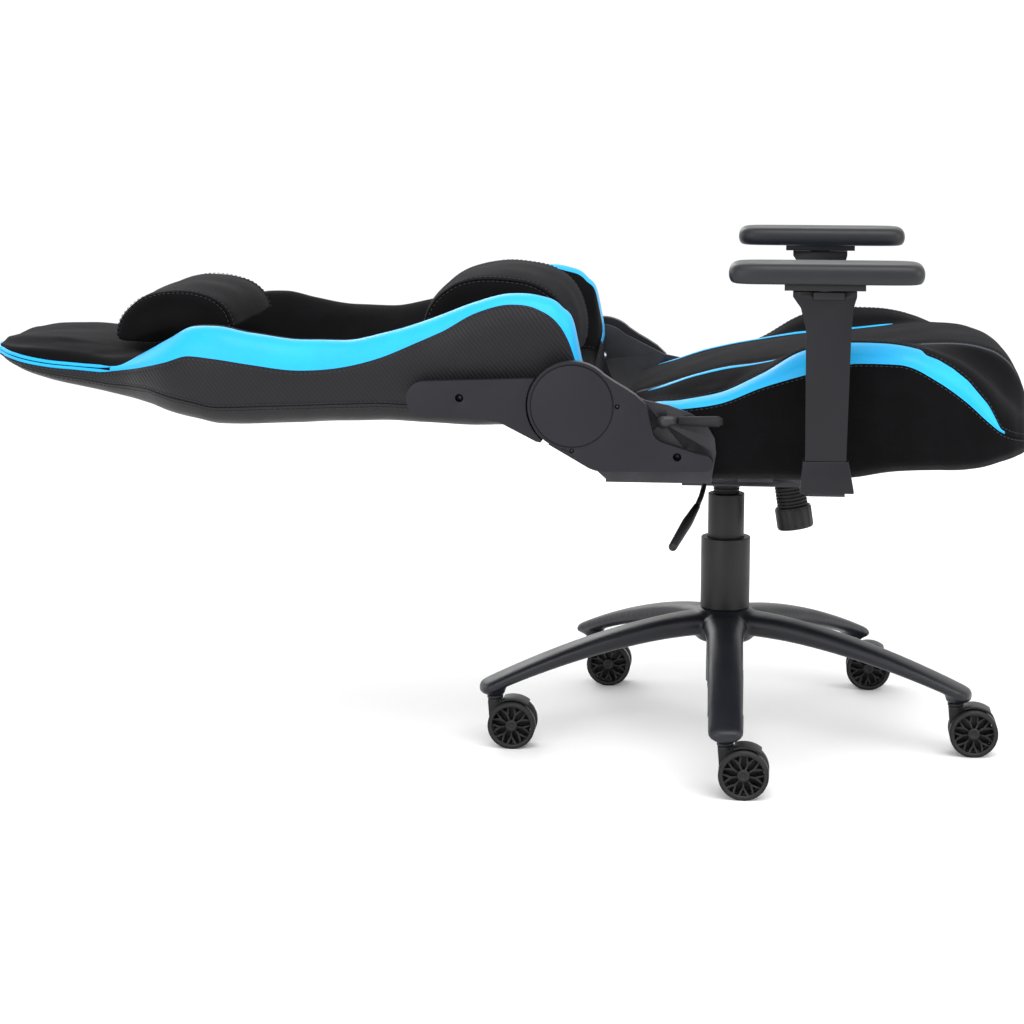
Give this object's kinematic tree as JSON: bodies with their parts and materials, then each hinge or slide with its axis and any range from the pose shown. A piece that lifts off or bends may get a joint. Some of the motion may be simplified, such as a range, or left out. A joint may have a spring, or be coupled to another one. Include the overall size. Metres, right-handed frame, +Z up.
{
  "type": "gaming chair",
  "caption": "Bucket-seat gaming chair with a fully reclining back, head and lumbar pillows, adjustable armrests, a gas lift and a five-leg base on twin-wheel casters.",
  "frame": {"origin": "on the floor under the centre of the gas column", "axes": "+Z up, the chair faces -Y, and the reclined backrest lies along +Y"},
  "size_m": [0.712, 1.401, 0.684],
  "materials": {
    "base_paint": "satin",
    "black_steel": "satin",
    "cover_plastic": "satin",
    "dark_plastic": "matte",
    "bright_steel": "satin",
    "black_rubber": "matte",
    "webbing": "matte",
    "black_suede": "matte",
    "bracket_plastic": "matte",
    "carbon_vinyl": "satin",
    "pad_foam": "satin",
    "wheel_plastic": "satin"
  },
  "bodies": {
    "base": {"star_base": "base_paint", "gas_outer_cylinder": "black_steel", "dust_cover_lower": "cover_plastic", "stem_sockets": "dark_plastic", "caster_stems": "bright_steel"},
    "lift": {"gas_piston": "bright_steel", "dust_cover_middle": "cover_plastic", "ribbed_collar": "dark_plastic"},
    "swivel": {"mechanism_housing": "black_steel", "tilt_spring": "bright_steel", "tension_bellows": "black_rubber"},
    "knob": {"tension_knob": "dark_plastic"},
    "lock_slide": {"tilt_lock_slider": "dark_plastic"},
    "height_lever": {"height_lever_rod": "black_steel", "height_lever_paddle": "dark_plastic"},
    "seat": {"mechanism_top_plate": "black_steel", "mounting_bolts": "bright_steel", "tilt_pivot_pin": "bright_steel", "seat_frame": "black_steel", "seat_webbing": "webbing", "seat_cushion": "black_suede", "seat_under_cover": "webbing", "seat_brackets": "black_steel", "seat_bracket_cover_left": "bracket_plastic", "seat_bracket_cover_right": "bracket_plastic", "pivot_bolts": "bright_steel", "bracket_screws": "black_steel", "armrest_brackets": "black_steel", "armrest_feet": "bracket_plastic"},
    "back": {"back_frame": "black_steel", "back_webbing": "webbing", "back_cushion": "black_suede", "back_rear_panel": "carbon_vinyl", "back_brackets": "black_steel", "back_bracket_cover_left": "bracket_plastic", "back_bracket_cover_right": "bracket_plastic", "back_screws": "black_steel", "recliner_gears": "bright_steel", "head_pillow": "black_suede", "lumbar_pillow": "black_suede"},
    "recline_lever": {"recline_lever_arm": "black_steel", "recline_lever_grip": "dark_plastic"},
    "arm_left": {"armrest_sleeve_left": "bracket_plastic"},
    "arm_button_left": {"height_button_left": "dark_plastic"},
    "arm_turn_left": {"pad_turn_plate_left": "dark_plastic"},
    "arm_pad_left": {"armrest_pad_left": "pad_foam"},
    "arm_right": {"armrest_sleeve_right": "bracket_plastic"},
    "arm_button_right": {"height_button_right": "dark_plastic"},
    "arm_turn_right": {"pad_turn_plate_right": "dark_plastic"},
    "arm_pad_right": {"armrest_pad_right": "pad_foam"},
    "caster_1": {"caster_fork_1": "dark_plastic"},
    "wheel_1": {"caster_wheels_1": "wheel_plastic"},
    "caster_2": {"caster_fork_2": "dark_plastic"},
    "wheel_2": {"caster_wheels_2": "wheel_plastic"},
    "caster_3": {"caster_fork_3": "dark_plastic"},
    "wheel_3": {"caster_wheels_3": "wheel_plastic"},
    "caster_4": {"caster_fork_4": "dark_plastic"},
    "wheel_4": {"caster_wheels_4": "wheel_plastic"},
    "caster_5": {"caster_fork_5": "dark_plastic"},
    "wheel_5": {"caster_wheels_5": "wheel_plastic"}
  },
  "joints": [
    {"name": "gas_lift", "type": "slide", "parent": "base", "child": "lift", "axis": [0, 0, 1], "range_m": [-0.06, 0.02]},
    {"name": "seat_swivel", "type": "hinge", "parent": "lift", "child": "swivel", "pos_m": [0, 0, 0.3], "axis": [0, 0, 1], "continuous": true},
    {"name": "tilt_rock", "type": "hinge", "parent": "swivel", "child": "seat", "pos_m": [0, -0.04, 0.374], "axis": [1, 0, 0], "range_deg": [-12, 0], "stiffness_Nm_per_rad": 260, "springref_deg": 25.78},
    {"name": "tension_turn", "type": "hinge", "parent": "swivel", "child": "knob", "pos_m": [0, -0.086, 0.355], "axis": [0, -0.1564, -0.9877], "continuous": true},
    {"name": "tilt_lock_pull", "type": "slide", "parent": "swivel", "child": "lock_slide", "axis": [1, 0, 0], "range_m": [-0.012, 0]},
    {"name": "height_lever_lift", "type": "hinge", "parent": "lock_slide", "child": "height_lever", "pos_m": [-0.053, 0.028, 0.365], "axis": [0, 1, 0], "range_deg": [0, 5], "stiffness_Nm_per_rad": 6, "springref_deg": -8.59},
    {"name": "recline", "type": "hinge", "parent": "seat", "child": "back", "pos_m": [0, 0.192, 0.495], "axis": [1, 0, 0], "range_deg": [0, 85]},
    {"name": "recline_lever_pull", "type": "hinge", "parent": "seat", "child": "recline_lever", "pos_m": [-0.27, 0.076, 0.474], "axis": [1, 0, 0], "range_deg": [-25, 0], "stiffness_Nm_per_rad": 1.2, "springref_deg": 11.46},
    {"name": "arm_height_left", "type": "slide", "parent": "seat", "child": "arm_left", "axis": [0, 0, 1], "range_m": [0, 0.07]},
    {"name": "arm_button_press_left", "type": "slide", "parent": "arm_left", "child": "arm_button_left", "axis": [-1, 0, 0], "range_m": [0, 0.003], "stiffness_N_per_m": 900, "springref_m": -0.002},
    {"name": "arm_pad_turn_left", "type": "hinge", "parent": "arm_left", "child": "arm_turn_left", "pos_m": [0.311, -0.1255, 0.65], "axis": [0, 0, 1], "range_deg": [-20, 20]},
    {"name": "arm_pad_slide_left", "type": "slide", "parent": "arm_turn_left", "child": "arm_pad_left", "axis": [0, 1, 0], "range_m": [-0.025, 0.025]},
    {"name": "arm_height_right", "type": "slide", "parent": "seat", "child": "arm_right", "axis": [0, 0, 1], "range_m": [0, 0.07]},
    {"name": "arm_button_press_right", "type": "slide", "parent": "arm_right", "child": "arm_button_right", "axis": [1, 0, 0], "range_m": [0, 0.003], "stiffness_N_per_m": 900, "springref_m": -0.002},
    {"name": "arm_pad_turn_right", "type": "hinge", "parent": "arm_right", "child": "arm_turn_right", "pos_m": [-0.311, -0.1255, 0.65], "axis": [0, 0, 1], "range_deg": [-20, 20]},
    {"name": "arm_pad_slide_right", "type": "slide", "parent": "arm_turn_right", "child": "arm_pad_right", "axis": [0, 1, 0], "range_m": [-0.025, 0.025]},
    {"name": "caster_swivel_1", "type": "hinge", "parent": "base", "child": "caster_1", "pos_m": [-0.32883, -0.01062, 0.06], "axis": [0, 0, 1], "continuous": true},
    {"name": "wheel_spin_1", "type": "hinge", "parent": "caster_1", "child": "wheel_1", "pos_m": [-0.32883, -0.03462, 0.0325], "axis": [1, 0, 0], "continuous": true},
    {"name": "caster_swivel_2", "type": "hinge", "parent": "base", "child": "caster_2", "pos_m": [-0.09151, -0.31602, 0.06], "axis": [0, 0, 1], "continuous": true},
    {"name": "wheel_spin_2", "type": "hinge", "parent": "caster_2", "child": "wheel_2", "pos_m": [-0.09151, -0.34002, 0.0325], "axis": [1, 0, 0], "continuous": true},
    {"name": "caster_swivel_3", "type": "hinge", "parent": "base", "child": "caster_3", "pos_m": [0.27227, -0.18469, 0.06], "axis": [0, 0, 1], "continuous": true},
    {"name": "wheel_spin_3", "type": "hinge", "parent": "caster_3", "child": "wheel_3", "pos_m": [0.27227, -0.20869, 0.0325], "axis": [1, 0, 0], "continuous": true},
    {"name": "caster_swivel_4", "type": "hinge", "parent": "base", "child": "caster_4", "pos_m": [0.25978, 0.20187, 0.06], "axis": [0, 0, 1], "continuous": true},
    {"name": "wheel_spin_4", "type": "hinge", "parent": "caster_4", "child": "wheel_4", "pos_m": [0.25978, 0.17787, 0.0325], "axis": [1, 0, 0], "continuous": true},
    {"name": "caster_swivel_5", "type": "hinge", "parent": "base", "child": "caster_5", "pos_m": [-0.11171, 0.30945, 0.06], "axis": [0, 0, 1], "continuous": true},
    {"name": "wheel_spin_5", "type": "hinge", "parent": "caster_5", "child": "wheel_5", "pos_m": [-0.11171, 0.28545, 0.0325], "axis": [1, 0, 0], "continuous": true}
  ]
}
